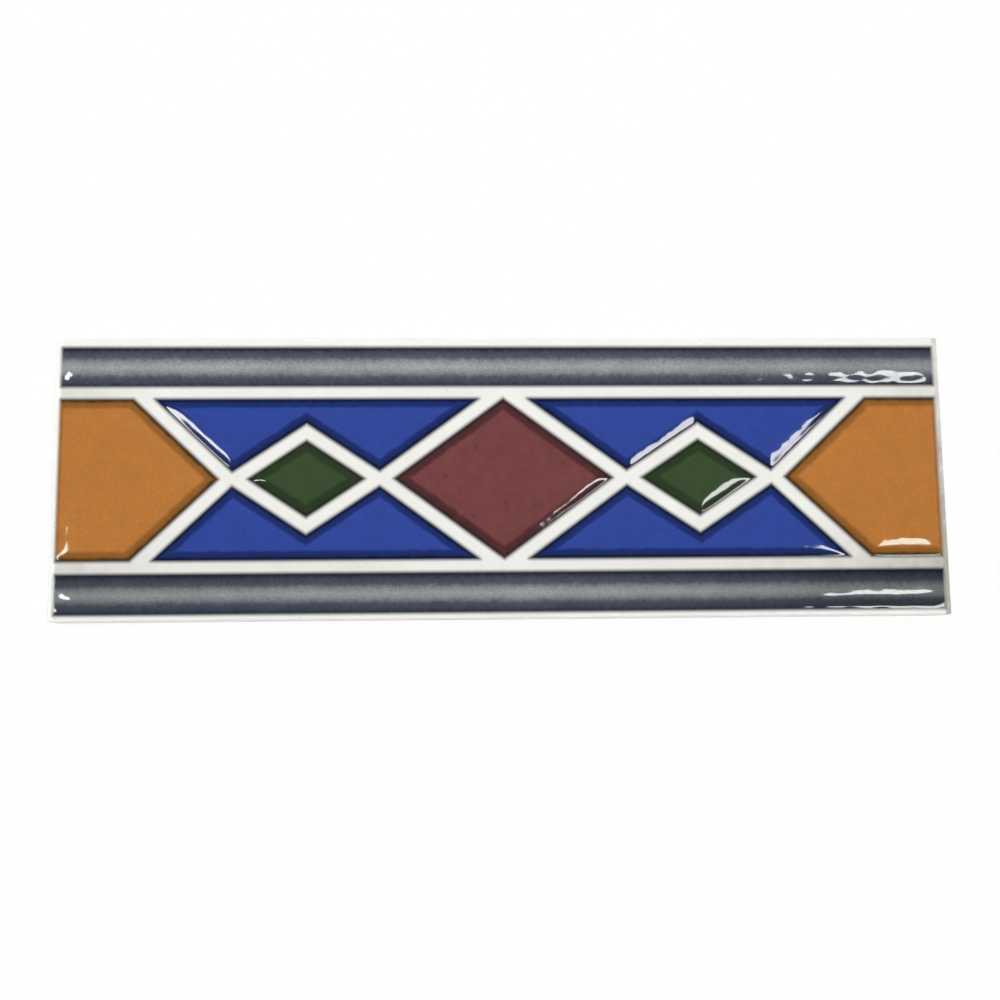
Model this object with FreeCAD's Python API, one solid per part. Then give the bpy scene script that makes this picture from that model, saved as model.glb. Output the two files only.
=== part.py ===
import FreeCAD, Part
import os

# Victorian geometric border tile: one pressed, glazed and fired piece of clay, lying face up.
# Its back rests on z = 0 with the centre at the origin. X runs along the tile, Y points from the front
# long edge to the rear one, and Z leaves the face. Sizes are in millimetres.

# Body
tile_length = 200.0
tile_width = 63.5
body_thickness = 8.0
corner_radius = 0.5
arris_radius = 0.4
back_chamfer = 0.4

# Margins round the moulded pattern, which sits a little nearer to the front edge than to the rear one
end_margin = 1.35
front_margin = 1.3
rear_margin = 2.2

# Relief: every raised form stands on a low upright edge and is rooted in the body below the face
relief_edge_height = 0.1
relief_root = 1.0

# Arched rails along both long edges
rail_width = 9.0
rail_camber = 0.5
rail_end_radius = 0.5
rail_gap = 2.8

# Raised cells of the geometric band, parted by flat lines
line_width = 3.15
cell_rim_width = 1.7
cell_rim_rise = 0.4
cell_shoulder_radius = 1.6
end_cell_side = 16.15
end_cell_reach = 35.3
centre_diamond_reach = 24.6
small_diamond_inset = 9.5
small_diamond_tip_gap = 6.3

# Waffle key pressed into the back for the adhesive
key_land = 5.0
key_rib = 3.0
key_depth = 0.7
key_wall_draft = 0.4
key_columns = 10
key_rows = 4

# Places that follow from the sizes above
half_length = tile_length / 2
half_width = tile_width / 2
pattern_reach = half_length - end_margin
pattern_centre = (front_margin - rear_margin) / 2
pattern_half_width = half_width - (front_margin + rear_margin) / 2
rail_centre = pattern_half_width - rail_width / 2
band_half_width = pattern_half_width - rail_width - rail_gap
end_cell_shoulder = pattern_reach - end_cell_side
end_cell_tip = pattern_reach - end_cell_reach
small_diamond_centre = (end_cell_tip + centre_diamond_reach) / 2
small_diamond_reach = (end_cell_tip - centre_diamond_reach) / 2 - small_diamond_tip_gap
small_diamond_half_width = band_half_width - small_diamond_inset

# Largest share of the corner radius that the eased edges turning round it may take
easing_limit = 0.9


def plan_face(points):
    """Flat face through plan points, at the height of the back."""
    corners = [FreeCAD.Vector(x, y, 0) for x, y in points]
    return Part.Face(Part.makePolygon(corners + corners[:1]))


def rectangle(half_x, half_y):
    """Plan face of a rectangle about the origin."""
    return plan_face([(-half_x, -half_y), (half_x, -half_y), (half_x, half_y), (-half_x, half_y)])


def diamond(centre, reach, half_breadth):
    """Plan face of a diamond with its long axis along the tile."""
    return plan_face([
        (centre - reach, 0),
        (centre, -half_breadth),
        (centre + reach, 0),
        (centre, half_breadth),
    ])


def end_cell(side):
    """Plan face of the house-shaped cell at one end, with its tip towards the middle."""
    return plan_face([
        (side * pattern_reach, -band_half_width),
        (side * pattern_reach, band_half_width),
        (side * end_cell_shoulder, band_half_width),
        (side * end_cell_tip, 0),
        (side * end_cell_shoulder, -band_half_width),
    ])


def grown(face, distance):
    """The plan face grown on all sides with sharp corners, or shrunk where the distance is negative."""
    return face.makeOffset2D(distance, join=2) if distance else face


def stacked(face, sections):
    """Solid with flat walls through copies of a plan face, each grown by a distance at a height."""
    rings = []
    for distance, height in sections:
        lift = FreeCAD.Vector(0, 0, height)
        corners = [vertex.Point + lift for vertex in grown(face, distance).OuterWire.OrderedVertexes]
        if rings:
            corners = [min(corners, key=corner.distanceToPoint) for corner in rings[-1]]
        rings.append(corners)
    outlines = [rings[0], rings[-1]]
    for lower, upper in zip(rings, rings[1:]):
        outlines += [[lower[i - 1], lower[i], upper[i], upper[i - 1]] for i in range(len(lower))]
    return Part.Solid(Part.Shell([Part.Face(Part.makePolygon(ring + ring[:1])) for ring in outlines]))


def edges_within(solid, low, high):
    """Edges that lie wholly between two heights."""
    return [edge for edge in solid.Edges if edge.BoundBox.ZMin > low and edge.BoundBox.ZMax < high]


def tile_body():
    """Slab with eased corners, a rounded arris round the face and a chamfer round the back."""
    slab = Part.makeBox(
        tile_length, tile_width, body_thickness, FreeCAD.Vector(-half_length, -half_width, 0)
    )
    uprights = [edge for edge in slab.Edges if edge.BoundBox.ZLength > body_thickness / 2]
    slab = slab.makeFillet(corner_radius, uprights)
    arris = min(arris_radius, easing_limit * corner_radius)
    slab = slab.makeFillet(arris, edges_within(slab, body_thickness / 2, 2 * body_thickness))
    chamfer = min(back_chamfer, easing_limit * corner_radius)
    return slab.makeChamfer(chamfer, edges_within(slab, -body_thickness, body_thickness / 2))


def raised_cell(face):
    """Cell of the band: a mitred rim that slopes up from its edge and rounds into a flat top."""
    edge = body_thickness + relief_edge_height
    solid = stacked(face, [
        (0, body_thickness - relief_root),
        (0, edge),
        (-cell_rim_width, edge + cell_rim_rise),
    ])
    return solid.makeFillet(cell_shoulder_radius, edges_within(solid, edge, 2 * body_thickness))


def rail(side):
    """Rail along one long edge: a shallow arch carried along the tile, with rounded ends."""
    near = side * rail_centre - rail_width / 2
    far = near + rail_width
    root = body_thickness - relief_root
    edge = body_thickness + relief_edge_height
    foot_near = FreeCAD.Vector(-pattern_reach, near, root)
    foot_far = FreeCAD.Vector(-pattern_reach, far, root)
    edge_near = FreeCAD.Vector(-pattern_reach, near, edge)
    edge_far = FreeCAD.Vector(-pattern_reach, far, edge)
    crown = FreeCAD.Vector(-pattern_reach, side * rail_centre, edge + rail_camber)
    section = Part.Face(Part.Wire([
        Part.makeLine(foot_near, edge_near),
        Part.Arc(edge_near, crown, edge_far).toShape(),
        Part.makeLine(edge_far, foot_far),
        Part.makeLine(foot_far, foot_near),
    ]))
    solid = section.extrude(FreeCAD.Vector(2 * pattern_reach, 0, 0))
    raised = edges_within(solid, body_thickness, 2 * body_thickness)
    end_arcs = [arc for arc in raised if arc.BoundBox.ZLength > rail_camber / 2]
    return solid.makeFillet(rail_end_radius, end_arcs)


def band_cells():
    """Plan faces of the band: diamonds and end cells, then what the lines round them leave between."""
    drawn = [diamond(0, centre_diamond_reach, band_half_width)]
    for side in (-1, 1):
        drawn.append(diamond(side * small_diamond_centre, small_diamond_reach, small_diamond_half_width))
        drawn.append(end_cell(side))
    band = rectangle(pattern_reach, band_half_width)
    between = band.cut([grown(face, line_width) for face in drawn])
    return drawn + between.Faces


def key_pockets():
    """Grid of drafted pockets in the back, parted by ribs."""
    pitch_x = (tile_length - 2 * key_land + key_rib) / key_columns
    pitch_y = (tile_width - 2 * key_land + key_rib) / key_rows
    mouth = rectangle((pitch_x - key_rib) / 2, (pitch_y - key_rib) / 2)
    pocket = stacked(mouth, [(key_wall_draft, -key_depth), (-key_wall_draft, key_depth)])
    pockets = []
    for column in range(key_columns):
        for row in range(key_rows):
            x = (column - (key_columns - 1) / 2) * pitch_x
            y = (row - (key_rows - 1) / 2) * pitch_y
            pockets.append(pocket.translated(FreeCAD.Vector(x, y, 0)))
    return pockets


def border_tile():
    """The whole tile: body and moulded face as one solid, less the key in its back."""
    relief = [raised_cell(face) for face in band_cells()] + [rail(side) for side in (-1, 1)]
    placed = [piece.translated(FreeCAD.Vector(0, pattern_centre, 0)) for piece in relief]
    return tile_body().fuse(placed).cut(key_pockets()).removeSplitter()


tile = border_tile().Solids[0]
os.makedirs("parts", exist_ok=True)
tile.exportStep("parts/border_tile.step")
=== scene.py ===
import logging
import math
from dataclasses import dataclass, replace
from enum import Enum
from functools import cached_property
from typing import Any

import bpy
import numpy as np
from bpy.types import ID, Material, Mesh, Node, NodeSocket as Socket, Object, World
from mathutils import Matrix, Vector


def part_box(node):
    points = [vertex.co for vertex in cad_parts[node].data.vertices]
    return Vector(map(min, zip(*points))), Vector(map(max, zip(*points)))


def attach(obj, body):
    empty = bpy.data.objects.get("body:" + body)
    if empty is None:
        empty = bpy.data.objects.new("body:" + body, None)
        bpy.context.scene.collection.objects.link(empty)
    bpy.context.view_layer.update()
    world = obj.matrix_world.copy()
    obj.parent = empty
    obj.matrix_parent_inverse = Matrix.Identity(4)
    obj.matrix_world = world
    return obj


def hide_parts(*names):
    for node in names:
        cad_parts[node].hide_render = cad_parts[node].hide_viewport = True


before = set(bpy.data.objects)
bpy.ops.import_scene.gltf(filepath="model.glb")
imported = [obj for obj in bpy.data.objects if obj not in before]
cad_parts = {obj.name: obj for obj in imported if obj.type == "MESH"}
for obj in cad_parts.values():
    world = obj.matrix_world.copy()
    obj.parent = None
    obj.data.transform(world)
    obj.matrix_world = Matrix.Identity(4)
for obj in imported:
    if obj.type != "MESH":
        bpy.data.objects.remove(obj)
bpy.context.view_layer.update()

# Victorian geometric border tile, lying face up on its keyed back.
# The tile is one fired piece. It is dressed here as a slab of biscuit with a white face, nine glazed cells
# and two glazed rails that stand on the face. All sizes below are in millimetres and become metres only
# where a mesh, lamp or camera is made.

NODE = "border_tile"
BODY = "root"
METRES = 0.001
CERAMIC_IOR = 1.5

# Angle in degrees above which an edge stays crisp
SHARP_ANGLE = 30.0

# Names of the distances that each glazed form keeps for its print: from its edge and from the printed rim
EDGE = "edge_mm"
RIM = "rim_mm"

Array = np.ndarray
log = logging.getLogger("border_tile")


class End(Enum):
    """End of the tile, as the sign of X there."""

    LEFT = -1
    RIGHT = 1


class Flank(Enum):
    """Long side of the tile, as the sign of Y there."""

    FRONT = -1
    REAR = 1


def linear(hex_colour: str) -> tuple[float, float, float, float]:
    """Turn an sRGB hex colour into a linear one.

    Args:
        hex_colour: Six hex digits after a hash sign.

    Returns:
        Red, green, blue and an alpha of one.
    """
    parts = [int(hex_colour[i:i + 2], 16) / 255 for i in (1, 3, 5)]
    straight = [p / 12.92 if p <= 0.04045 else ((p + 0.055) / 1.055) ** 2.4 for p in parts]
    return straight[0], straight[1], straight[2], 1.0


def per_metre(size: float) -> float:
    """Texture scale on Object coordinates for a pattern of a size in millimetres."""
    return 1.0 / (size * METRES)


@dataclass(frozen=True)
class Grain:
    """Fine unevenness of a surface, by the size and depth of its swells in millimetres."""

    size: float
    depth: float
    detail: float = 1.0
    roughness: float = 0.45
    strength: float = 1.0


class Bench:
    """Workbench for the nodes of a material or a world."""

    def __init__(self, block: Material | World) -> None:
        """Start with an empty node tree.

        Args:
            block: Material or world that the nodes are for.
        """
        self.block = block
        block.use_nodes = True
        block.node_tree.nodes.clear()

    def add(
        self,
        kind: str,
        inputs: dict[str | int, Any] | None = None,
        stops: list[tuple[float, str]] | None = None,
        **settings: Any,
    ) -> Node:
        """Add a node with its settings, its ramp stops, and a value or a link for each input.

        Args:
            kind: Blender's type name of the node, without ShaderNode at its start.
            inputs: Socket name or number, with the value to set, the output to link, or the node whose first
                output is linked.
            stops: Places from 0 to 1 with hex colours, for a node that holds a ramp.
            settings: Properties of the node.

        Returns:
            The new node.
        """
        tree = self.block.node_tree
        node = tree.nodes.new(f"ShaderNode{kind}")
        for key, value in settings.items():
            setattr(node, key, value)
        for key, value in (inputs or {}).items():
            source = value.outputs[0] if isinstance(value, Node) else value
            if isinstance(source, Socket):
                tree.links.new(source, node.inputs[key])
            else:
                node.inputs[key].default_value = source
        for number, (place, colour) in enumerate(stops or []):
            elements = node.color_ramp.elements
            element = elements[number] if number < len(elements) else elements.new(place)
            element.position = place
            element.color = linear(colour)
        return node

    @cached_property
    def place(self) -> Socket:
        """Object coordinates, which all patterns share."""
        return self.add("TexCoord").outputs["Object"]

    def finish(self, colour: Socket, roughness: float | Socket, grain: Grain, glint: str) -> Material:
        """Give the material its surface, with its grain as a bump.

        Args:
            colour: Colour below the surface.
            roughness: Roughness of the surface.
            grain: Unevenness of the surface.
            glint: Tint of its glints.

        Returns:
            The material.
        """
        noise = self.add("TexNoise", {
            "Vector": self.place, "Scale": per_metre(grain.size),
            "Detail": grain.detail, "Roughness": grain.roughness,
        })
        bump = self.add("Bump", {
            "Height": noise, "Strength": grain.strength, "Distance": grain.depth * METRES,
        })
        skin = self.add("BsdfPrincipled", {
            "Base Color": colour, "Roughness": roughness, "IOR": CERAMIC_IOR,
            "Specular Tint": linear(glint), "Normal": bump,
        })
        self.add("OutputMaterial", {"Surface": skin})
        return self.block


@dataclass(frozen=True)
class Mottle:
    """Cloudy value that goes a share to either side of its middle, with clouds of a size in millimetres.

    It is noise between 0 and 1, cut off near both ends and stretched to the share.
    """

    size: float
    share: float
    detail: float = 4.0
    roughness: float = 0.6
    middle: float = 1.0
    cut: float = 0.25

    def draw(self, bench: Bench) -> Socket:
        """Draw the clouds.

        Args:
            bench: Bench of the material.

        Returns:
            The value.
        """
        noise = bench.add("TexNoise", {
            "Vector": bench.place, "Scale": per_metre(self.size),
            "Detail": self.detail, "Roughness": self.roughness,
        })
        return bench.add("MapRange", {
            "Value": noise, "From Min": self.cut, "From Max": 1.0 - self.cut,
            "To Min": self.middle - self.share, "To Max": self.middle + self.share,
        }).outputs[0]


@dataclass(frozen=True)
class Specks:
    """Round specks in cells of a size in millimetres, where the chance decides which cells have one.

    A speck pales from its strength to nothing between two radii, as parts of that size.
    """

    size: float
    strength: float
    chance: float
    radii: tuple[float, float] = (0.0, 0.28)
    blend: str = "SMOOTHSTEP"

    def draw(self, bench: Bench) -> Socket:
        """Scatter the specks.

        Args:
            bench: Bench of the material.

        Returns:
            Their strength.
        """
        spot = bench.add("TexVoronoi", {"Vector": bench.place, "Scale": per_metre(self.size)})
        dot = bench.add("MapRange", {
            "Value": spot, "From Min": self.radii[0], "From Max": self.radii[1],
            "To Min": self.strength, "To Max": 0.0,
        }, interpolation_type=self.blend)
        lot = bench.add("SeparateColor", {"Color": spot.outputs["Color"]})
        chosen = bench.add("Math", {0: lot, 1: self.chance}, operation="LESS_THAN")
        return bench.add("Math", {0: dot, 1: chosen}, operation="MULTIPLY").outputs[0]


@dataclass(frozen=True)
class Fade:
    """Smooth rise from nothing to a share, between two places in millimetres along an axis of the tile."""

    axis: str
    start: float
    end: float
    share: float = 1.0
    both_ways: bool = False

    def rise(self, bench: Bench) -> Socket:
        """Draw the rise, alike on both sides of the middle where it goes both ways.

        Args:
            bench: Bench of the material.

        Returns:
            The value.
        """
        spot = bench.add("SeparateXYZ", {0: bench.place}).outputs[self.axis]
        if self.both_ways:
            spot = bench.add("Math", {0: spot}, operation="ABSOLUTE").outputs[0]
        return bench.add("MapRange", {
            "Value": spot, "From Min": self.start * METRES, "From Max": self.end * METRES,
            "To Max": self.share,
        }, interpolation_type="SMOOTHSTEP").outputs[0]


@dataclass(frozen=True)
class WhiteFace:
    """Matt white slip on the pressed face: chalky, faint grit, painted light and painted shade near some
    edges.
    """

    name: str = "white_slip_pressed"
    white: str = "#f6f6f3"
    shade: str = "#e9e9e5"
    # Brighter white of the painted light on the margins
    painted_light: str = "#fdfdf9"
    grit: str = "#b4b1a9"
    # Grey of the painted shade near the front right, at the ends of the lines and on the right margin
    painted_shade: str = "#b6b2a9"
    cloud_size: float = 6.0
    specks: Specks = Specks(0.9, 0.5, 0.16, (0.06, 0.24), "LINEAR")
    painted_shade_patches: Mottle = Mottle(4.0, 0.35, detail=5.0, roughness=0.65, cut=0.3)
    painted_shade_band: Fade = Fade("Y", 24.0, 22.0, both_ways=True)
    painted_shade_inside: Fade = Fade("X", 99.0, 98.4, both_ways=True)
    painted_shade_ends: Fade = Fade("X", 74.0, 97.0, 0.3, both_ways=True)
    painted_shade_front: Fade = Fade("Y", -8.0, -20.0)
    painted_shade_low: Fade = Fade("X", 4.0, 36.0, 0.12, both_ways=True)
    painted_shade_right: Fade = Fade("X", 30.0, 98.0, 0.35)
    painted_shade_margin: Fade = Fade("X", 98.4, 99.0)
    painted_shade_rear: Fade = Fade("Y", 30.0, -25.0, 0.6)
    painted_shade_least: float = 0.5
    painted_shade_top: Fade = Fade("Z", 6.0, 7.5)
    painted_light_ends: Fade = Fade("X", 98.2, 98.9, both_ways=True)
    painted_light_flanks: Fade = Fade("Y", 29.6, 30.3, 0.4, both_ways=True)
    roughness: float = 0.6
    grain: Grain = Grain(0.7, 0.02, detail=4.0, roughness=0.6, strength=0.5)
    glint: str = "#ffffff"

    def painted_shade_share(self, bench: Bench) -> Socket:
        """Spread painted shade in patches: on the lines, more at the front right, and on the right margin.

        The share is (ends + front (low + right)) band inside + margin (rear + least) top, times the patches.

        Args:
            bench: Bench of the material.

        Returns:
            The share of painted shade.
        """
        outwards = bench.add("Math", {
            0: self.painted_shade_low.rise(bench), 1: self.painted_shade_right.rise(bench),
        }, operation="ADD")
        lines = bench.add("Math", {
            0: self.painted_shade_front.rise(bench), 1: outwards, 2: self.painted_shade_ends.rise(bench),
        }, operation="MULTIPLY_ADD")
        room = bench.add("Math", {
            0: self.painted_shade_band.rise(bench), 1: self.painted_shade_inside.rise(bench),
        }, operation="MULTIPLY")
        depth = bench.add("Math", {0: self.painted_shade_rear.rise(bench), 1: self.painted_shade_least}, operation="ADD")
        brim = bench.add("Math", {0: self.painted_shade_margin.rise(bench), 1: depth}, operation="MULTIPLY")
        margin = bench.add("Math", {0: brim, 1: self.painted_shade_top.rise(bench)}, operation="MULTIPLY")
        total = bench.add("Math", {0: lines, 1: room, 2: margin}, operation="MULTIPLY_ADD")
        patches = self.painted_shade_patches.draw(bench)
        return bench.add("Math", {0: total, 1: patches}, operation="MULTIPLY", use_clamp=True).outputs[0]

    def colour(self, bench: Bench) -> Socket:
        """Draw the slip's colour: slow clouds of two whites, painted light on margins, painted shade, sparse
        grit.

        Args:
            bench: Bench of the material.

        Returns:
            The colour.
        """
        cloud = bench.add("TexNoise", {
            "Vector": bench.place, "Scale": per_metre(self.cloud_size), "Detail": 5.0, "Roughness": 0.62,
        })
        slip = bench.add("Mix", {0: cloud, 6: linear(self.shade), 7: linear(self.white)}, data_type="RGBA")
        # Painted light: the margins take the brighter white
        margin = bench.add("Math", {
            0: self.painted_light_ends.rise(bench), 1: self.painted_light_flanks.rise(bench),
        }, operation="MAXIMUM")
        layers = (
            (margin, self.painted_light), (self.painted_shade_share(bench), self.painted_shade), (self.specks.draw(bench), self.grit),
        )
        for share, tone in layers:
            slip = bench.add("Mix", {0: share, 6: slip.outputs[2], 7: linear(tone)}, data_type="RGBA")
        return slip.outputs[2]

    def make(self) -> Material:
        """Build the material.

        Returns:
            White slip with a satin surface and a fine pressed grain.
        """
        bench = Bench(bpy.data.materials.new(self.name))
        return bench.finish(self.colour(bench), self.roughness, self.grain, self.glint)


@dataclass(frozen=True)
class Biscuit:
    """Dry-pressed, fired clay of the back and sides: warm cream, chalky, with coarse grog specks."""

    name: str = "cream_biscuit_dry_pressed"
    pale: str = "#e9dfce"
    deep: str = "#d3c4ad"
    grog: str = "#9c8468"
    cloud_size: float = 9.0
    specks: Specks = Specks(1.3, 0.7, 1.0, (0.05, 0.22), "LINEAR")
    roughness: float = 0.88
    sand: Grain = Grain(0.35, 0.05, detail=3.0, roughness=0.7, strength=0.8)
    glint: str = "#ffffff"

    def make(self) -> Material:
        """Build the material.

        Returns:
            Rough unglazed clay with clouds, grog specks and a sandy grain.
        """
        bench = Bench(bpy.data.materials.new(self.name))
        cloud = bench.add("TexNoise", {
            "Vector": bench.place, "Scale": per_metre(self.cloud_size), "Detail": 6.0, "Roughness": 0.65,
        })
        clay = bench.add("Mix", {0: cloud, 6: linear(self.deep), 7: linear(self.pale)}, data_type="RGBA")
        specks = self.specks.draw(bench)
        speckled = bench.add("Mix", {0: specks, 6: clay.outputs[2], 7: linear(self.grog)}, data_type="RGBA")
        return bench.finish(speckled.outputs[2], self.roughness, self.sand, self.glint)


@dataclass(frozen=True)
class PrintedGlaze:
    """Underglaze colour below a clear fired glaze: a mirror-like skin over a print.

    Each stop of the print is a distance from the edge of the form, in millimetres, with the colour there, so
    the dark line at the edge, the deeper rim and the field inside it follow the edge.
    """

    name: str
    stops: tuple[tuple[float, str], ...]
    speck: str
    clouds: Mottle = Mottle(3.2, 0.06, roughness=0.55)
    grain: Mottle = Mottle(0.4, 0.08, detail=2.0)
    wander: Mottle = Mottle(2.2, 0.2, detail=3.0, middle=0.0)
    specks: Specks = Specks(2.6, 0.3, 0.2)
    # Painted shade: the print darkens towards the tile's ends by these shares, between these places
    end_shade_span: tuple[float, float] = (15.0, 97.0)
    end_shade_left: float = 0.0
    end_shade_right: float = 0.0
    # Where the print blends into the white, out from the edge and in from it: print bleed and painted shade
    # beside the form
    bleed_and_shade_out: float = -0.75
    bleed_in: float = 0.4
    ripple: Grain = Grain(3.0, 0.035)
    roughness: float = 0.06
    glint: str = "#ffffff"

    def colour(self, bench: Bench) -> Socket:
        """Draw the print: ramp from a wandering edge, clouds, grain and painted end shade in its strength,
        specks.

        Args:
            bench: Bench of the material.

        Returns:
            The colour.
        """
        reach = self.stops[-1][0]
        rim = bench.add("Attribute", attribute_name=RIM)
        printed = bench.add("Math", {0: rim.outputs["Fac"], 1: self.wander.draw(bench)}, operation="ADD")
        share = bench.add("MapRange", {"Value": printed, "From Max": reach})
        stops = [(distance / reach, tone) for distance, tone in self.stops]
        ramp = bench.add("ValToRGB", {"Fac": share}, stops)
        gain = bench.add("Math", {
            0: self.clouds.draw(bench), 1: self.grain.draw(bench),
        }, operation="MULTIPLY")
        # Painted shade towards each end of the tile
        start, end = self.end_shade_span
        lost = bench.add("Math", {
            0: Fade("X", start, end, self.end_shade_right).rise(bench),
            1: Fade("X", -start, -end, self.end_shade_left).rise(bench),
        }, operation="ADD")
        left = bench.add("Math", {0: 1.0, 1: lost}, operation="SUBTRACT")
        strength = bench.add("Math", {0: gain, 1: left}, operation="MULTIPLY")
        toned = bench.add("HueSaturation", {"Color": ramp, "Value": strength})
        specks = self.specks.draw(bench)
        return bench.add("Mix", {0: specks, 6: toned, 7: linear(self.speck)}, data_type="RGBA").outputs[2]

    def make(self, face: WhiteFace) -> Material:
        """Build the material.

        Args:
            face: White slip that the print bleeds into at its edge, and darkens there as painted shade.

        Returns:
            Glossy printed glaze with a slight ripple.
        """
        bench = Bench(bpy.data.materials.new(self.name))
        edge = bench.add("Attribute", attribute_name=EDGE)
        # The print's colour reaching out on to the white is print bleed and painted shade beside the form
        cover = bench.add("MapRange", {
            "Value": edge.outputs["Fac"], "From Min": self.bleed_and_shade_out, "From Max": self.bleed_in,
        }, interpolation_type="SMOOTHSTEP")
        body = bench.add("Mix", {0: cover, 6: face.colour(bench), 7: self.colour(bench)}, data_type="RGBA")
        gloss = bench.add("MapRange", {"Value": cover, "To Min": face.roughness, "To Max": self.roughness})
        return bench.finish(body.outputs[2], gloss.outputs[0], self.ripple, self.glint)


WHITE_FACE = WhiteFace()
BISCUIT = Biscuit()
BLUE = PrintedGlaze(
    "cobalt_blue_glaze_fired",
    (
        (0.0, "#0a0f2c"), (0.5, "#101838"), (0.85, "#1c2a5c"), (1.3, "#1f2f6a"), (1.8, "#203270"),
        (2.4, "#33489a"),
    ),
    speck="#25367a", clouds=Mottle(3.2, 0.05, roughness=0.55),
)
GREEN = PrintedGlaze(
    "leaf_green_glaze_fired",
    ((0.0, "#1b2317"), (0.5, "#252f20"), (0.95, "#2d3b26"), (1.9, "#2d3c26"), (2.6, "#3a4d31")),
    speck="#2b3a25",
)
RED = PrintedGlaze(
    "oxblood_red_glaze_fired",
    ((0.0, "#301d20"), (0.5, "#382629"), (1.0, "#4d2d30"), (1.9, "#532f30"), (2.6, "#754343")),
    speck="#4c2c2d", clouds=Mottle(2.4, 0.1, roughness=0.55), specks=Specks(3.4, 0.45, 0.3),
)
ORANGE = PrintedGlaze(
    "amber_orange_glaze_fired",
    (
        (0.0, "#38230f"), (0.5, "#4e3318"), (0.85, "#7c5127"), (1.1, "#8e5e2c"), (1.8, "#94602e"),
        (2.5, "#ba793b"),
    ),
    speck="#9a6230", grain=Mottle(0.4, 0.1, detail=2.0), specks=Specks(2.6, 0.25, 0.2), glint="#dcf8f0",
)
SLATE_REAR = PrintedGlaze(
    "slate_grey_glaze_fired",
    (
        (0.0, "#24262d"), (0.5, "#323642"), (0.9, "#404654"), (1.5, "#494e5c"), (2.1, "#535762"),
        (2.45, "#5f636e"), (3.0, "#7f828a"), (3.6, "#909396"), (4.4, "#9ea0a3"),
    ),
    speck="#4a4f5b", clouds=Mottle(10.0, 0.12, roughness=0.55), grain=Mottle(0.45, 0.22, detail=2.0),
    wander=Mottle(1.3, 0.35, detail=3.0, middle=0.0), specks=Specks(2.6, 0.2, 0.2),
    end_shade_left=0.02, end_shade_right=0.16, ripple=Grain(4.0, 0.16, detail=0.0),
)
# The front rail has the rear rail's glaze with a darker print and stronger end shade: painted shade towards
# the front
SLATE_FRONT = replace(
    SLATE_REAR, name="slate_grey_glaze_shaded",
    stops=(
        (0.0, "#22242b"), (0.5, "#2f333e"), (0.9, "#393f4d"), (1.5, "#444a58"), (2.1, "#4b505b"),
        (2.5, "#565a63"), (3.0, "#73767d"), (3.6, "#898c90"), (4.4, "#96999c"),
    ),
    grain=Mottle(0.45, 0.18, detail=2.0), wander=Mottle(1.3, 0.3, detail=3.0, middle=0.0),
    end_shade_left=0.14, end_shade_right=0.44, ripple=Grain(5.0, 0.14, detail=0.5),
)


@dataclass(frozen=True)
class Shoulder:
    """Section of a glazed form from its foot to its flat top or its crown.

    The slope at a distance d from the edge is s (1 - exp(-(d/f)^2)) times (c - d) / (c - b), held between 0
    and 1: a concave foot of width f, a bevel of the steepness s as far as b, an even fall to the top at c.
    """

    steepness: float = 0.22
    foot_width: float = 0.3
    bevel_end: float = 1.23
    top_start: float = 4.77
    table_step: float = 0.01

    def height(self, distance: Array) -> Array:
        """Add up the slope from the edge, in small steps.

        Args:
            distance: Distances from the edge, where what lies outside counts as the edge.

        Returns:
            Heights above the foot.
        """
        d = np.arange(0.0, self.top_start + self.table_step, self.table_step)
        foot = 1.0 - np.exp(-(d / self.foot_width) ** 2)
        fall = np.clip((self.top_start - d) / (self.top_start - self.bevel_end), 0.0, 1.0)
        rise = np.cumsum(self.steepness * foot * fall) * self.table_step
        return np.interp(distance, d, rise - rise[0])


# Steepness of the shoulders, which the glaze softens more at one end of the tile than at the other
CENTRE_STEEPNESS = 0.25
SMALL_STEEPNESS = {End.LEFT: 0.262, End.RIGHT: 0.216}
END_STEEPNESS = {End.LEFT: 0.2, End.RIGHT: 0.23}
NOTCHED_STEEPNESS = {End.LEFT: 0.22, End.RIGHT: 0.198}

# Last inset of a notched cell's outline, for which its neck leaves less room
NOTCHED_DEEPEST = 2.4

# Section of the rails up to their crown
RAIL_STEEPNESS = 0.266
RAIL_FOOT = 0.8
RAIL_BEVEL_END = 2.0


@dataclass(frozen=True)
class Unevenness:
    """Slow waves that make a hand-finished edge steeper in one stretch and gentler in the next."""

    share: float = 0.1
    lengths: tuple[float, float, float] = (34.0, 21.0, 13.0)
    turns: tuple[float, float, float] = (-1.92, 2.65, 1.11)
    phases: tuple[float, float, float] = (3.16, 1.34, 6.11)

    def gain(self, plan: Array) -> Array:
        """Add up plane waves, each sin(2 pi u / length + phase) along its own direction.

        Args:
            plan: Plan points.

        Returns:
            Factors about one for the distances from the edge.
        """
        length, turn, phase = (np.array(values) for values in (self.lengths, self.turns, self.phases))
        along = plan[..., :1] * np.cos(turn) + plan[..., 1:] * np.sin(turn)
        waves = np.sin(2 * np.pi * along / length + phase)
        return 1.0 + self.share * waves.mean(axis=-1)


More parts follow.
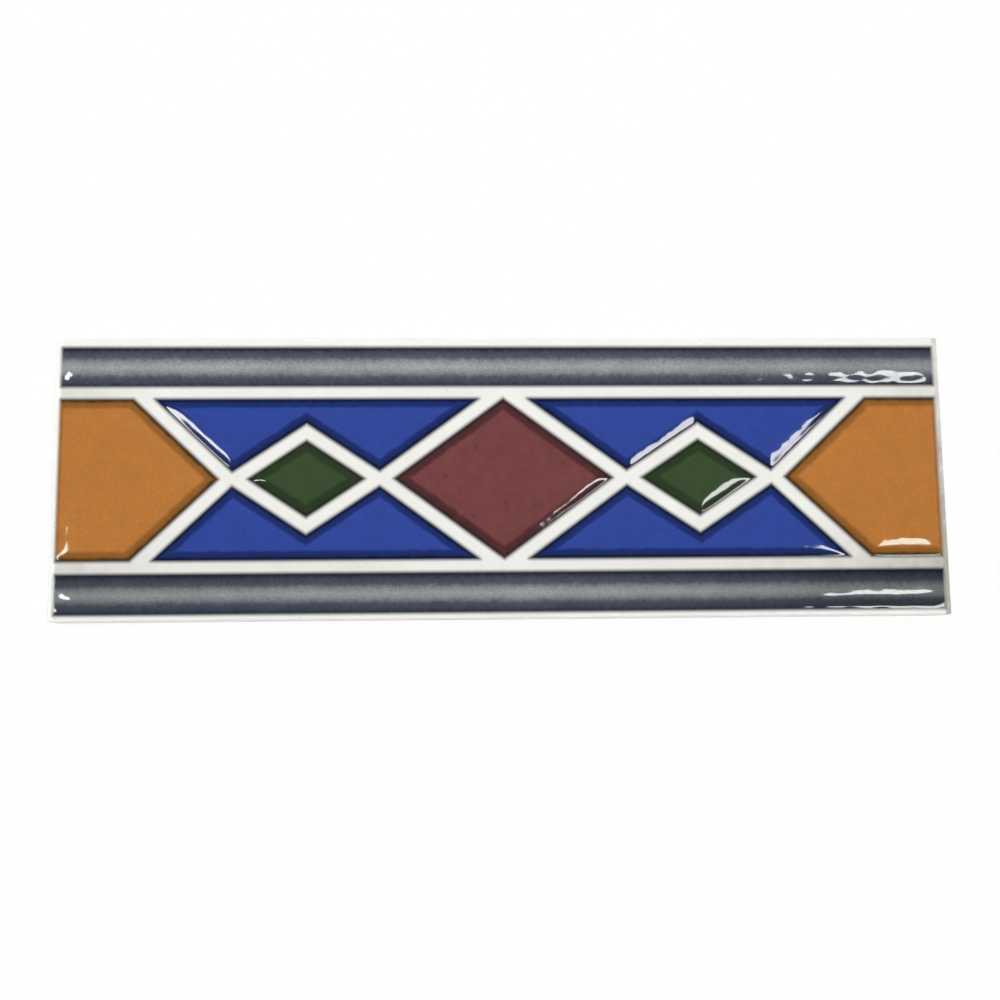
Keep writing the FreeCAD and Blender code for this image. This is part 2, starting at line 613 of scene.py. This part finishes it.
@dataclass(frozen=True)
class Pattern:
    """Plan of the moulded face, about the middle of the tile."""

    length: float
    width: float
    end_margin: float = 1.35
    front_margin: float = 1.3
    rear_margin: float = 2.2
    rail_width: float = 9.0
    rail_gap: float = 2.8
    line_width: float = 3.15
    end_cell_side: float = 16.15
    end_cell_reach: float = 35.3
    centre_reach: float = 24.6
    small_inset: float = 9.5
    small_tip_gap: float = 6.3

    @property
    def reach(self) -> float:
        """Half length of the pattern."""
        return self.length / 2 - self.end_margin

    @property
    def shift(self) -> float:
        """Place of the pattern's long axis, which lies a little nearer to the front edge."""
        return (self.front_margin - self.rear_margin) / 2

    @property
    def half_width(self) -> float:
        """Half width over both rails."""
        return (self.width - self.front_margin - self.rear_margin) / 2

    @property
    def band(self) -> float:
        """Half width of the band of cells."""
        return self.half_width - self.rail_width - self.rail_gap

    @property
    def tip(self) -> float:
        """Distance of an end cell's tip from the middle."""
        return self.reach - self.end_cell_reach

    @property
    def small_centre(self) -> float:
        """Distance of a small diamond's middle from the middle of the tile."""
        return (self.tip + self.centre_reach) / 2

    @property
    def small_reach(self) -> float:
        """Half length of a small diamond."""
        return (self.tip - self.centre_reach) / 2 - self.small_tip_gap

    @property
    def small_half(self) -> float:
        """Half width of a small diamond."""
        return self.band - self.small_inset

    def placed(self, corners: Array, end: End = End.RIGHT, flank: Flank = Flank.REAR) -> Array:
        """Mirror corners to an end and a flank, keep them anticlockwise, and shift them on to the tile.

        Args:
            corners: Corners for the right end and the rear flank, anticlockwise.
            end: End that the corners go to.
            flank: Flank that the corners go to.

        Returns:
            The corners in the tile's plan.
        """
        turned = corners * (end.value, flank.value)
        if end.value * flank.value < 0:
            turned = turned[::-1]
        return turned + (0.0, self.shift)

    def diamond(self, end: End | None = None) -> Array:
        """Corners of the large diamond in the middle, or of the small one towards an end."""
        centre, reach, half = 0.0, self.centre_reach, self.band
        if end:
            centre, reach, half = self.small_centre, self.small_reach, self.small_half
        corners = np.array([(centre - reach, 0), (centre, -half), (centre + reach, 0), (centre, half)])
        return self.placed(corners, end or End.RIGHT)

    def end_cell(self, end: End) -> Array:
        """Corners of the house-shaped cell at one end, with its tip towards the middle."""
        shoulder = self.reach - self.end_cell_side
        house = np.array([
            (self.reach, -self.band), (self.reach, self.band), (shoulder, self.band),
            (self.tip, 0), (shoulder, -self.band),
        ])
        return self.placed(house, end)

    def notched_cell(self, end: End, flank: Flank) -> Array:
        """Corners of a cell between the diamonds and an end cell.

        Each side is a line n.p = c, one line width outside the large diamond, the two sides of the small
        diamond and the end cell, and the last is the band's edge. Neighbouring lines meet at the corners.

        Args:
            end: End of the tile that the cell lies towards.
            flank: Flank of the tile that the cell lies on.

        Returns:
            The corners, anticlockwise.
        """
        slant = self.reach - self.end_cell_side - self.tip
        lines = np.array([
            (1 / self.centre_reach, 1 / self.band),
            (-1 / self.small_reach, 1 / self.small_half),
            (1 / self.small_reach, 1 / self.small_half),
            (-1 / slant, 1 / self.band),
            (0.0, 1.0),
        ])
        middle = self.small_centre / self.small_reach
        edge = np.array([1.0, 1.0 - middle, 1.0 + middle, -self.tip / slant, self.band])
        clear = np.linalg.norm(lines, axis=1) * self.line_width * (1, 1, 1, 1, 0)
        reach = edge + clear
        pairs = np.stack([lines, np.roll(lines, -1, axis=0)], axis=1)
        sums = np.stack([reach, np.roll(reach, -1)], axis=1)
        corners = np.linalg.solve(pairs, sums[..., None])[..., 0]
        return self.placed(corners, end, flank)

    def rail(self, flank: Flank) -> Array:
        """Corners of the rail along one flank."""
        inner = self.half_width - self.rail_width
        strip = np.array([
            (-self.reach, inner), (self.reach, inner),
            (self.reach, self.half_width), (-self.reach, self.half_width),
        ])
        return self.placed(strip, End.RIGHT, flank)


def quads(here: Array, ahead: Array) -> list[list[int]]:
    """Join neighbouring rows of vertex numbers with quads.

    Args:
        here: Vertex numbers, row by row.
        ahead: The vertex that follows each of them in its row.

    Returns:
        Corners of each quad: here, ahead, and then back along the next row.
    """
    return np.stack([here[:-1], ahead[:-1], ahead[1:], here[1:]], axis=-1).reshape(-1, 4).tolist()


def new_mesh(name: str, points: Array, faces: list[list[int]]) -> Mesh:
    """Make a mesh in metres from points in millimetres."""
    mesh = bpy.data.meshes.new(name)
    mesh.from_pydata((points.reshape(-1, 3) * METRES).tolist(), [], faces)
    return mesh


def border(grid: Array) -> Array:
    """Walk anticlockwise round the border of a grid whose rows run upwards."""
    return np.concatenate([grid[0, :-1], grid[:-1, -1], grid[-1, :0:-1], grid[:0:-1, 0]])


def add_object(name: str, data: ID) -> Object:
    """Put a mesh, a lamp or a camera into the scene."""
    item = bpy.data.objects.new(name, data)
    bpy.context.scene.collection.objects.link(item)
    return item


def closed_mesh(name: str, loops: Array, low_pole: Array, high_pole: Array) -> Mesh:
    """Skin a stack of closed loops with quads and close both ends with a fan to a point.

    Args:
        name: Name of the mesh.
        loops: Loops, points and coordinates in millimetres, anticlockwise seen from above.
        low_pole: Point that closes the first loop.
        high_pole: Point that closes the last loop.

    Returns:
        The mesh.
    """
    count, size = loops.shape[:2]
    index = np.arange(count * size).reshape(count, size)
    ahead = np.roll(index, -1, axis=1)
    low = np.stack([ahead[0], index[0], np.full(size, count * size)], axis=-1)
    high = np.stack([index[-1], ahead[-1], np.full(size, count * size + 1)], axis=-1)
    points = np.concatenate([loops.reshape(-1, 3), low_pole[None], high_pole[None]])
    return new_mesh(name, points, quads(index, ahead) + low.tolist() + high.tolist())


def stand_for_tile(name: str, mesh: Mesh) -> Object:
    """Put a mesh in the scene as a smooth piece that rides on the tile and stands for it.

    Args:
        name: Name of the piece.
        mesh: Its mesh.

    Returns:
        The piece.
    """
    mesh.shade_smooth()
    mesh.set_sharp_from_angle(angle=math.radians(SHARP_ANGLE))
    piece = add_object(name, mesh)
    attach(piece, BODY)
    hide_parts(NODE)
    return piece


@dataclass
class GlazedCell:
    """Glazed cell of the band, which stands on the face on an outline with straight sides."""

    name: str
    outline: Array
    heart: Array
    glaze: PrintedGlaze
    ground: float
    shoulder: Shoulder = Shoulder()
    unevenness: Unevenness = Unevenness()
    bare_side: int | None = None
    bare_start: float = 1.6
    step: float = 0.6
    skirt: float = 0.75
    skirt_lift: float = 0.012
    corner_ease: float = 0.42
    root: float = 0.6
    deepest: float = 3.0
    ring_step: float = 0.1
    heart_rings: int = 16
    heart_span: tuple[float, float] = (0.1, 0.98)
    heart_crowding: float = 1.9

    def sides(self) -> Array:
        """Way along each side, from its corner to the next."""
        return np.roll(self.outline, -1, axis=0) - self.outline

    def side_normals(self) -> Array:
        """Unit vectors that point inwards from each side."""
        along = self.sides()
        inward = np.stack([-along[:, 1], along[:, 0]], axis=1)
        return inward / np.linalg.norm(inward, axis=1, keepdims=True)

    def notch(self) -> int | None:
        """Number of the corner that points inwards, if the outline has one."""
        normal = self.side_normals()
        before = np.roll(normal, 1, axis=0)
        turn = before[:, 0] * normal[:, 1] - before[:, 1] * normal[:, 0]
        hollow = np.flatnonzero(turn < 0)
        return int(hollow[0]) if hollow.size else None

    def side_distances(self, plan: Array) -> Array:
        """Distances of plan points from the line of each side, positive inside."""
        return ((plan[..., None, :] - self.outline) * self.side_normals()).sum(axis=-1)

    def nearest(self, distances: Array) -> Array:
        """Join the distances from the sides into one, with mitred corners.

        The nearest side counts, and at a corner that points inwards the farther of its two sides does.

        Args:
            distances: Distance from each side.

        Returns:
            Distance from the outline.
        """
        notch = self.notch()
        if notch is None:
            return distances.min(axis=-1)
        pair = [notch - 1, notch]
        inner = distances[..., pair].max(axis=-1)
        return np.minimum(np.delete(distances, pair, axis=-1).min(axis=-1), inner)

    def eased(self, distances: Array) -> Array:
        """Join the distances from the sides into one whose contours round the corners.

        With the ease k, the sides give -k log(sum of exp(-d/k)), and at a corner that points inwards its two
        sides first give k log(exp(a/k) + exp(b/k)) together.

        Args:
            distances: Distance from each side.

        Returns:
            Distance that the section is read at.
        """
        ease = self.corner_ease
        notch = self.notch()
        if notch is not None:
            pair = [notch - 1, notch]
            joined = ease * np.logaddexp.reduce(distances[..., pair] / ease, axis=-1, keepdims=True)
            distances = np.concatenate([np.delete(distances, pair, axis=-1), joined], axis=-1)
        return -ease * np.logaddexp.reduce(-distances / ease, axis=-1)

    def heights(self, plan: Array) -> Array:
        """Height above the foot: the section at the eased distance, which the unevenness stretches.

        Args:
            plan: Plan points.

        Returns:
            Heights in millimetres.
        """
        return self.shoulder.height(self.eased(self.side_distances(plan)) * self.unevenness.gain(plan))

    def plan_rings(self) -> Array:
        """Cover the plan with rings: mitred insets of the outline, then rings that shrink to the heart.

        A corner slides along its bisector, (a + b) / (1 + a.b) for the inward normals a and b of its sides,
        as far as the inset. Points along a side crowd towards its corners by a cosine.

        Returns:
            Rings, points and plan coordinates.
        """
        normal = self.side_normals()
        before = np.roll(normal, 1, axis=0)
        slide = (before + normal) / (1.0 + (before * normal).sum(axis=1, keepdims=True))
        inset = np.concatenate([
            [-self.skirt, -self.skirt / 2], np.arange(0.0, self.deepest + self.ring_step / 2, self.ring_step),
        ])
        corners = self.outline + inset[:, None, None] * slide
        length = np.linalg.norm(self.sides(), axis=1)
        pieces = np.ceil(length / self.step).astype(int)
        side = np.repeat(np.arange(len(pieces)), pieces)
        place = (np.arange(side.size) - np.repeat(np.cumsum(pieces) - pieces, pieces)) / pieces[side]
        share = (0.5 - 0.5 * np.cos(np.pi * place))[:, None]
        rings = corners[:, side] * (1 - share) + np.roll(corners, -1, axis=1)[:, side] * share
        towards = np.linspace(*self.heart_span, self.heart_rings) ** self.heart_crowding
        inner = rings[-1] + towards[:, None, None] * (self.heart - rings[-1])
        return np.concatenate([rings, inner])

    def build(self) -> Object:
        """Raise the rings to their heights, sink a root into the slab, and close the form.

        Returns:
            The piece, with its distances from the edge and from the printed rim as attributes.
        """
        plan = self.plan_rings()
        lift = self.ground + self.skirt_lift
        top = np.concatenate([plan, (lift + self.heights(plan))[..., None]], axis=-1)
        foot = top[:1] * (1, 1, 0) + (0, 0, self.ground - self.root)
        crown = np.append(self.heart, lift + self.heights(self.heart[None]))
        sole = np.append(self.heart, self.ground - self.root)
        mesh = closed_mesh(self.name, np.concatenate([foot, top]), sole, crown)
        spots = np.concatenate([plan[:1].reshape(-1, 2), plan.reshape(-1, 2), [self.heart, self.heart]])
        self.write(mesh, EDGE, self.edge_distance(spots))
        self.write(mesh, RIM, self.rim_distance(self.side_distances(spots)))
        return stand_for_tile(self.name, mesh)

    def edge_distance(self, spots: Array) -> Array:
        """Distance from the outline itself, positive inside.

        Each side's nearest point lies at the share (q.a) / (a.a) along it, held between 0 and 1, for the
        side a and the way q from its start. The nearest of them counts.

        Args:
            spots: Plan points.

        Returns:
            Distances in millimetres.
        """
        along = self.sides()
        out = spots[:, None] - self.outline
        share = np.clip((out * along).sum(axis=-1) / (along ** 2).sum(axis=-1), 0.0, 1.0)
        gap = np.linalg.norm(out - share[..., None] * along, axis=-1).min(axis=-1)
        return np.copysign(gap, self.nearest(self.side_distances(spots)))

    def rim_distance(self, distances: Array) -> Array:
        """Distance from the printed rim, of which a bare side has only the last trace."""
        traced = distances.copy()
        if self.bare_side is not None:
            traced[..., self.bare_side] += self.bare_start
        return self.nearest(traced)

    def write(self, mesh: Mesh, name: str, values: Array) -> None:
        """Store one number for each vertex."""
        mesh.attributes.new(name, "FLOAT", "POINT").data.foreach_set("value", values.astype(np.float32))

    def dress(self, piece: Object) -> None:
        """Give the piece its glaze, which every form of that colour shares."""
        made = bpy.data.materials.get(self.glaze.name) or self.glaze.make(WHITE_FACE)
        piece.data.materials.append(made)


@dataclass
class GlazedRail(GlazedCell):
    """Rail along a flank: a shallow arch across, which swells slowly from its ends."""

    long_sides: tuple[int, int] = (0, 2)
    end_sides: tuple[int, int] = (1, 3)
    print_shift: float = 0.2
    end_swell: float = 1.6
    deepest: float = 4.4
    ring_step: float = 0.15
    step: float = 1.0

    def heights(self, plan: Array) -> Array:
        """Height above the foot: the section from the nearer long side, times a swell at each end.

        The swell is 1 - exp(-e/v) for the distance e from an end.

        Args:
            plan: Plan points.

        Returns:
            Heights in millimetres.
        """
        distance = np.clip(self.side_distances(plan), 0.0, None)
        section = self.shoulder.height(distance[..., self.long_sides].min(axis=-1))
        ends = 1.0 - np.exp(-distance[..., self.end_sides] / self.end_swell)
        return section * ends.prod(axis=-1)

    def rim_distance(self, distances: Array) -> Array:
        """Distance from the nearer long side of the print, which sits a little towards the tile's front."""
        return (distances[..., self.long_sides] + (self.print_shift, -self.print_shift)).min(axis=-1)


@dataclass
class TileSlab:
    """Pressed slab below the relief: eased corners, a rounded arris, a chamfer and the waffle key below."""

    length: float
    width: float
    thickness: float = 8.0
    corner_radius: float = 0.5
    arris_radius: float = 0.4
    chamfer: float = 0.4
    key_land: float = 5.0
    key_rib: float = 3.0
    key_depth: float = 0.7
    key_draft: float = 0.4
    key_columns: int = 10
    key_rows: int = 4
    corner_turns: int = 4
    arris_turns: int = 6

    def key_lines(self, span: float, count: int) -> Array:
        """Places of a pocket's mouth and floor edges along one direction, for every pocket in turn."""
        pitch = (span - 2 * self.key_land + self.key_rib) / count
        mouth = (pitch - self.key_rib) / 2
        centre = (np.arange(count) - (count - 1) / 2) * pitch
        offset = np.array([-mouth, self.key_draft - mouth, mouth - self.key_draft, mouth])
        return (centre[:, None] + offset).ravel()

    def side_places(self, half: float, count: int) -> Array:
        """Places along a straight side that ends in two eased corners.

        The last points at each end lie beyond the straight run by the radius times the tangent of the angle
        that each takes round the corner.

        Args:
            half: Half length of the side.
            count: Number of points.

        Returns:
            Places from one corner to the other.
        """
        straight = half - self.corner_radius
        turn = np.tan(np.linspace(0, math.pi / 4, self.corner_turns + 1))[1:] * self.corner_radius + straight
        middle = np.linspace(-straight, straight, count - 2 * self.corner_turns)
        return np.concatenate([-turn[::-1], middle, turn])

    def loops(self, columns: int, rows: int) -> Array:
        """Carry the wall's section round the rounded rectangle.

        The section is a list of insets and heights: chamfer, upright wall and a quarter circle. A point of
        the path is c + (radius - inset) u for the nearest point c of the inner rectangle and the unit vector
        u from it.

        Args:
            columns: Points along a flank.
            rows: Points along an end.

        Returns:
            Loops, points and coordinates from the back to the face.
        """
        half = np.array([self.length / 2, self.width / 2])
        core = half - self.corner_radius
        places = np.meshgrid(self.side_places(half[0], columns), self.side_places(half[1], rows))
        walk = border(np.stack(places, axis=-1))
        centre = np.clip(walk, -core, core)
        out = walk - centre
        out /= np.linalg.norm(out, axis=1, keepdims=True)
        turn = np.linspace(0, math.pi / 2, self.arris_turns)
        inset = np.concatenate([[self.chamfer, 0.0], self.arris_radius * (1 - np.cos(turn))])
        level = np.concatenate([
            [0.0, self.chamfer], self.thickness - self.arris_radius * (1 - np.sin(turn)),
        ])
        flat = centre + (self.corner_radius - inset[:, None, None]) * out
        return np.concatenate([flat, np.broadcast_to(level[:, None, None], flat.shape[:2] + (1,))], axis=-1)

    def key_grid(self, across: Array, along: Array) -> Array:
        """Grid of the keyed back: the depth times the lesser of two trapezoids, one in each direction.

        Args:
            across: Places of the pocket edges along the tile.
            along: Places of the pocket edges across it.

        Returns:
            Rows, columns and coordinates.
        """
        wall = np.array([0.0, 1.0, 1.0, 0.0])
        sunk_x = np.tile(wall, self.key_columns)
        sunk_y = np.tile(wall, self.key_rows)
        x, y = np.meshgrid(across, along)
        return np.stack([x, y, self.key_depth * np.minimum(sunk_x[None], sunk_y[:, None])], axis=-1)

    def build(self) -> Object:
        """Join the keyed back, the walls and the face into one closed slab.

        Returns:
            The piece.
        """
        across = self.key_lines(self.length, self.key_columns)
        along = self.key_lines(self.width, self.key_rows)
        grid = self.key_grid(across, along)
        rows, columns = grid.shape[:2]
        cell = np.arange(rows * columns).reshape(rows, columns)
        back = quads(cell.T[:, :-1], cell.T[:, 1:])
        loops = self.loops(columns, rows)
        ring = rows * columns + np.arange(loops.shape[0] * loops.shape[1]).reshape(loops.shape[:2])
        chain = np.concatenate([border(cell)[None], ring])
        walls = quads(chain, np.roll(chain, -1, axis=1))
        points = np.concatenate([grid.reshape(-1, 3), loops.reshape(-1, 3)])
        mesh = new_mesh("tile_slab", points, back + walls + [ring[-1].tolist()])
        slip = np.zeros(len(mesh.polygons), dtype=np.int32)
        slip[-1 - self.arris_turns * chain.shape[1]:] = 1
        mesh.materials.append(None)
        mesh.materials.append(None)
        mesh.polygons.foreach_set("material_index", slip)
        return stand_for_tile("tile_slab", mesh)

    def dress(self, piece: Object) -> None:
        """Leave the back and its chamfer as biscuit and give the walls, arris and face the white slip."""
        piece.data.materials[0] = BISCUIT.make()
        piece.data.materials[1] = WHITE_FACE.make()


@dataclass(frozen=True)
class Window:
    """Bright window seen aslant, by its corners on a plane above the face."""

    name: str
    corners: tuple[tuple[float, float], ...]
    glow: float
    above: float = 1000.0
    tint: str = "#fafafa"


@dataclass
class Studio:
    """Pale floor, soft light all round, two windows that glint on the glaze, a soft fill, and the camera."""

    face_height: float
    windows: tuple[Window, ...] = (
        Window("right_window", ((362.0, -212.0), (378.0, -264.0), (686.0, -43.0), (440.0, -2.0)), 17.0),
        Window("left_window", ((-483.0, -152.0), (-479.0, -72.0), (-674.0, 94.0), (-853.0, 29.0)), 21.0),
    )
    floor_half: float = 3000.0
    floor_lines: int = 5
    floor_drop: float = 0.05
    floor_white: str = "#fcfcfc"
    floor_glow: float = 0.96
    sky: float = 0.95
    sky_top: float = 0.06
    dark_above: float = 0.74
    bright_below: float = 0.6
    fill_place: tuple[float, float, float] = (-10.0, 200.0, 600.0)
    fill_size: float = 400.0
    fill_power: float = 1.98
    fill_tint: str = "#fffefa"
    camera_place: tuple[float, float, float] = (-12.09, -44.47, 287.54)
    camera_aim: tuple[float, float, float] = (-0.88, -5.44, 0.0)
    camera_roll: float = -0.61
    image_width: float = 1000.0
    focal_pixels: float = 1300.0
    film_width: float = 36.0
    nearest_seen: float = 10.0

    def lay_floor(self) -> None:
        """Lay a flat floor that glows just enough to come out white, and keeps shadows."""
        side = np.linspace(-self.floor_half, self.floor_half, self.floor_lines)
        x, y = np.meshgrid(side, side)
        points = np.stack([x, y, np.full(x.shape, -self.floor_drop)], axis=-1)
        cell = np.arange(x.size).reshape(x.shape)
        mesh = new_mesh("floor", points, quads(cell[:, :-1], cell[:, 1:]))
        floor = add_object("floor", mesh)
        bench = Bench(bpy.data.materials.new("white_paper_floor"))
        ray = bench.add("LightPath").outputs
        seen = bench.add("Math", {0: ray["Is Camera Ray"], 1: ray["Is Glossy Ray"]}, operation="MAXIMUM")
        shown = bench.add("Math", {0: seen, 1: ray["Is Transmission Ray"]}, operation="MAXIMUM")
        share = bench.add("Math", {0: shown, 1: self.floor_glow}, operation="MULTIPLY")
        paper = bench.add("BsdfDiffuse", {"Color": linear(self.floor_white)})
        glow = bench.add("Emission", {"Color": linear("#ffffff"), "Strength": 1.0})
        mixed = bench.add("MixShader", {0: share, 1: paper, 2: glow})
        bench.add("OutputMaterial", {"Surface": mixed})
        mesh.materials.append(bench.block)

    def hang_sky(self) -> None:
        """Light the scene from low all round, with a dim top that leaves the glaze its depth from above."""
        world = bpy.data.worlds.new("soft_studio")
        bpy.context.scene.world = world
        bench = Bench(world)
        parts = bench.add("SeparateXYZ", {0: bench.add("TexCoord").outputs["Generated"]})
        level = bench.add("MapRange", {
            "Value": parts.outputs["Z"], "From Min": self.bright_below, "From Max": self.dark_above,
            "To Min": self.sky, "To Max": self.sky_top,
        }, interpolation_type="SMOOTHSTEP")
        light = bench.add("Background", {"Strength": level})
        bench.add("OutputWorld", {"Surface": light})

    def hang_fill(self) -> None:
        """Hang a flat lamp over the tile, seen only in what it lights and not as a glint in the glaze."""
        light = bpy.data.lights.new("soft_fill", "AREA")
        light.size = self.fill_size * METRES
        light.energy = self.fill_power
        light.color = linear(self.fill_tint)[:3]
        lamp = add_object("soft_fill", light)
        lamp.location = (Vector(self.fill_place) + Vector((0.0, 0.0, self.face_height))) * METRES
        lamp.visible_camera = False
        lamp.visible_glossy = False

    def open_window(self, window: Window) -> None:
        """Open a window as a flat panel that glows downwards, unseen by the camera itself.

        Args:
            window: The window.
        """
        plan = np.array(window.corners)[::-1]
        level = np.full((len(plan), 1), window.above + self.face_height)
        mesh = new_mesh(window.name, np.hstack([plan, level]), [list(range(len(plan)))])
        bench = Bench(bpy.data.materials.new("window_daylight"))
        behind = bench.add("NewGeometry").outputs["Backfacing"]
        front = bench.add("Math", {0: 1.0, 1: behind}, operation="SUBTRACT")
        strength = bench.add("Math", {0: front, 1: window.glow}, operation="MULTIPLY")
        glow = bench.add("Emission", {"Color": linear(window.tint), "Strength": strength})
        bench.add("OutputMaterial", {"Surface": glow})
        mesh.materials.append(bench.block)
        panel = add_object(window.name, mesh)
        panel.visible_camera = False
        panel.visible_shadow = False

    def set_camera(self) -> None:
        """Set the camera by its place, the point of the face that it looks at, and its roll."""
        lens = bpy.data.cameras.new("photo_camera")
        lens.sensor_width = self.film_width
        lens.lens = self.focal_pixels / self.image_width * self.film_width
        lens.clip_start = self.nearest_seen * METRES
        face = Vector((0.0, 0.0, self.face_height))
        place = Vector(self.camera_place) + face
        back = (place - Vector(self.camera_aim) - face).normalized()
        right = Vector((0.0, 1.0, 0.0)).cross(back).normalized()
        upright = Matrix((right, back.cross(right), back)).transposed()
        turned = Matrix.Rotation(math.radians(self.camera_roll), 3, back) @ upright
        camera = add_object("photo_camera", lens)
        camera.matrix_world = Matrix.LocRotScale(place * METRES, turned, None)
        bpy.context.scene.camera = camera

    def build(self) -> None:
        """Set up the whole studio."""
        bpy.context.scene.view_settings.view_transform = "Standard"
        self.lay_floor()
        self.hang_sky()
        for window in self.windows:
            self.open_window(window)
        self.hang_fill()
        self.set_camera()


def raised_forms(pattern: Pattern, ground: float) -> list[GlazedCell]:
    """List every glazed form of the face.

    Args:
        pattern: Plan of the face.
        ground: Height of the white face.

    Returns:
        The forms, from the middle outwards.
    """
    axis = pattern.shift
    centre = pattern.diamond()
    forms: list[GlazedCell] = [
        GlazedCell("centre_diamond", centre, centre.mean(axis=0), RED, ground, Shoulder(CENTRE_STEEPNESS)),
    ]
    for end in End:
        side = end.name.lower()
        small = pattern.diamond(end)
        forms.append(GlazedCell(
            f"small_diamond_{side}", small, small.mean(axis=0), GREEN, ground, Shoulder(SMALL_STEEPNESS[end]),
        ))
        house = pattern.end_cell(end)
        # The straight side is the one whose corners both lie at the end of the pattern
        straight = int(np.argmin(np.abs(np.abs(house[:, 0] + np.roll(house[:, 0], -1)) - 2 * pattern.reach)))
        heart = np.array([end.value * (pattern.reach - pattern.end_cell_side), axis])
        forms.append(GlazedCell(
            f"end_cell_{side}", house, heart, ORANGE, ground,
            Shoulder(END_STEEPNESS[end]), bare_side=straight,
        ))
        for flank in Flank:
            notched = pattern.notched_cell(end, flank)
            # The heart lies midway between the notch, over the small diamond, and the edge of the band
            peak = notched[np.argmin(np.abs(notched[:, 0] - end.value * pattern.small_centre))]
            heart = np.array([peak[0], (peak[1] + axis + flank.value * pattern.band) / 2])
            forms.append(GlazedCell(
                f"notched_cell_{side}_{flank.name.lower()}", notched, heart, BLUE, ground,
                Shoulder(NOTCHED_STEEPNESS[end]), deepest=NOTCHED_DEEPEST,
            ))
    for flank, slate in ((Flank.FRONT, SLATE_FRONT), (Flank.REAR, SLATE_REAR)):
        strip = pattern.rail(flank)
        arch = Shoulder(RAIL_STEEPNESS, RAIL_FOOT, RAIL_BEVEL_END, pattern.rail_width / 2)
        forms.append(GlazedRail(f"rail_{flank.name.lower()}", strip, strip.mean(axis=0), slate, ground, arch))
    return forms


def main() -> None:
    """Build the slab, the glazed forms and the studio."""
    logging.basicConfig(level=logging.INFO, format="%(name)s: %(message)s")
    low, high = (np.array(corner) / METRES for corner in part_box(NODE))
    length, width = (float(extent) for extent in (high - low)[:2])
    slab = TileSlab(length, width)
    piece = slab.build()
    slab.dress(piece)
    log.info("%s, %d faces", piece.name, len(piece.data.polygons))
    for form in raised_forms(Pattern(length, width), slab.thickness):
        piece = form.build()
        form.dress(piece)
        log.info("%s, %d faces", piece.name, len(piece.data.polygons))
    Studio(slab.thickness).build()


if __name__ == "__main__":
    main()
